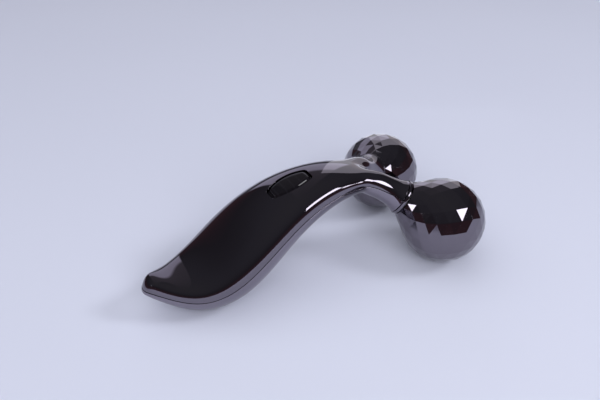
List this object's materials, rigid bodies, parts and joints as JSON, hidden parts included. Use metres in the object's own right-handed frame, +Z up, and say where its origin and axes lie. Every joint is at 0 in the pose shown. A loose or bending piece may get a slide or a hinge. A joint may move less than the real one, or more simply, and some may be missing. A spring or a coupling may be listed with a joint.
{
  "type": "face roller",
  "caption": "Hand roller for face and body: a curved mirror-plated handle with a small solar window forks into arms, each carrying a free-spinning faceted ball on a fixed axle.",
  "frame": {"origin": "under the middle of the whole roller, at the height of the surface it lies on", "axes": "+X from the handle's tip to the balls, +Y to the left ball, +Z up as the roller lies on its belly and its balls"},
  "size_m": [0.1591, 0.0916, 0.0495],
  "materials": {
    "plated": "moulded plastic with mirror-bright gunmetal plating",
    "smoked": "polished smoked acrylic",
    "foam": "closed-cell foam",
    "silicon": "dark solar cell on glass",
    "laminate": "masked circuit board laminate",
    "bronze": "sintered or rolled bronze",
    "insulation": "extruded wire insulation",
    "zinc": "zinc die casting, as cast",
    "steel": "turned or drawn bright steel",
    "acetal": "natural acetal"
  },
  "bodies": {
    "handle": {"upper_shell": "plated", "lower_shell": "plated", "solar_window": "smoked", "window_gasket": "foam", "solar_cell": "silicon", "circuit_board": "laminate", "grip_contact": "bronze", "axle_lead": "insulation", "ballast_bar": "steel", "axle_yoke": "zinc", "ballast_screw_1": "steel", "ballast_screw_2": "steel", "yoke_screw_1": "steel", "yoke_screw_2": "steel", "left_axle": "steel", "left_neck_collar": "plated", "left_thrust_washer": "acetal", "left_retaining_clip": "steel", "right_axle": "steel", "right_neck_collar": "plated", "right_thrust_washer": "acetal", "right_retaining_clip": "steel"},
    "left_ball": {"left_ball_shell": "plated", "left_ball_hub": "acetal", "left_inner_bush": "bronze", "left_outer_bush": "bronze"},
    "right_ball": {"right_ball_shell": "plated", "right_ball_hub": "acetal", "right_inner_bush": "bronze", "right_outer_bush": "bronze"}
  },
  "joints": [
    {"name": "left_ball_spin", "type": "hinge", "parent": "handle", "child": "left_ball", "pos_m": [0.059, 0.0258, 0.02], "axis": [0.7031, 0.5202, -0.4848], "continuous": true},
    {"name": "right_ball_spin", "type": "hinge", "parent": "handle", "child": "right_ball", "pos_m": [0.059, -0.0258, 0.02], "axis": [0.7031, -0.5202, -0.4848], "continuous": true}
  ]
}
